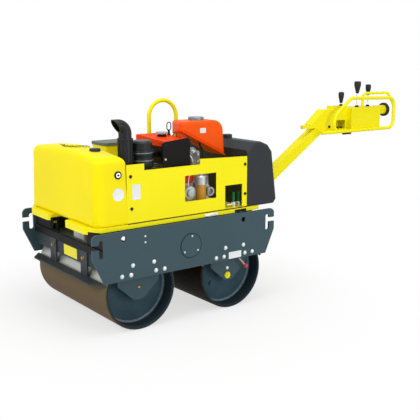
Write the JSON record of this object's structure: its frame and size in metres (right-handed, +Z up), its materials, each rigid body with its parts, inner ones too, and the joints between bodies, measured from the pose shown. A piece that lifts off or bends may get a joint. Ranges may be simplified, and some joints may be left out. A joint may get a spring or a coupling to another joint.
{
  "type": "walk-behind duplex roller",
  "caption": "Walk-behind vibrating roller with twin steel drums, water tank, open single-cylinder engine, lifting bail and a folding drawbar with a control console.",
  "frame": {"origin": "on the floor under the middle of the overall box", "axes": "+X to the front (water tank end), +Y to the machine's left, +Z up"},
  "size_m": [2.464, 0.812, 1.1741],
  "materials": {
    "amber_plastic": "clear, stained",
    "black_grip": "matt",
    "black_metal": "heat-proof matt",
    "black_plastic": "grained",
    "brass": "turned",
    "bright_steel": "plated",
    "dark_plastic": "moulded",
    "dark_steel": "oxidised",
    "drum_steel": "rolled, worn",
    "engine_alloy": "as cast",
    "engine_orange": "gloss paint",
    "frame_grey": "satin paint",
    "green_plastic": "dipped grip",
    "light_grey": "satin paint",
    "red_plastic": "gloss ball",
    "rubber": "matt",
    "tank_yellow": "moulded, satin",
    "yellow_paint": "gloss paint"
  },
  "bodies": {
    "chassis": {"air_filter": "black_plastic", "base_plate": "yellow_paint", "box_cap": "black_plastic", "brake_lever": "red_plastic", "engine_block": "engine_alloy", "engine_cowl": "engine_orange", "engine_shroud": "black_metal", "filter_bowl": "amber_plastic", "front_arm_left": "frame_grey", "front_arm_right": "frame_grey", "front_buffers_left": "rubber", "front_buffers_right": "rubber", "front_cross_plate": "frame_grey", "front_hub_caps": "brass", "front_scraper": "dark_steel", "front_tie_bar": "dark_steel", "fuel_cap": "bright_steel", "fuel_filter": "engine_alloy", "fuel_tank": "engine_orange", "intake_snorkel": "black_plastic", "lifting_bail": "yellow_paint", "muffler": "black_metal", "oil_tank": "yellow_paint", "oil_tank_lid": "dark_plastic", "outlet_box": "light_grey", "pivot_bracket": "frame_grey", "rear_arm_left": "frame_grey", "rear_arm_right": "frame_grey", "rear_box": "black_plastic", "rear_buffers_left": "rubber", "rear_buffers_right": "rubber", "rear_cross_plate": "frame_grey", "rear_hub_caps": "yellow_paint", "rear_scraper": "dark_steel", "rear_tie_bar": "dark_steel", "rubber_blocks": "rubber", "side_cover_left": "frame_grey", "side_cover_right": "frame_grey", "side_panel_left": "yellow_paint", "side_panel_right": "yellow_paint", "side_plate_left": "frame_grey", "side_plate_right": "frame_grey", "tank_cap": "black_plastic", "valve_handles": "green_plastic", "valve_manifold": "bright_steel", "water_tank": "tank_yellow"},
    "front_drum": {"front_drum": "drum_steel"},
    "rear_drum": {"rear_drum": "drum_steel"},
    "handle": {"drawbar": "yellow_paint", "console": "yellow_paint", "guard_loop": "yellow_paint", "lever_rods": "bright_steel", "lever_knobs": "black_grip", "stop_pad": "black_grip"}
  },
  "joints": [
    {"name": "front_drum_spin", "type": "hinge", "parent": "chassis", "child": "front_drum", "pos_m": [0.95545, 0, 0.2], "axis": [0, 1, 0], "continuous": true},
    {"name": "rear_drum_spin", "type": "hinge", "parent": "chassis", "child": "rear_drum", "pos_m": [0.38845, 0, 0.2], "axis": [0, 1, 0], "continuous": true},
    {"name": "drawbar_fold", "type": "hinge", "parent": "chassis", "child": "handle", "pos_m": [-0.00305, 0, 0.484], "axis": [0, 1, 0], "range_deg": [0, 55]}
  ]
}
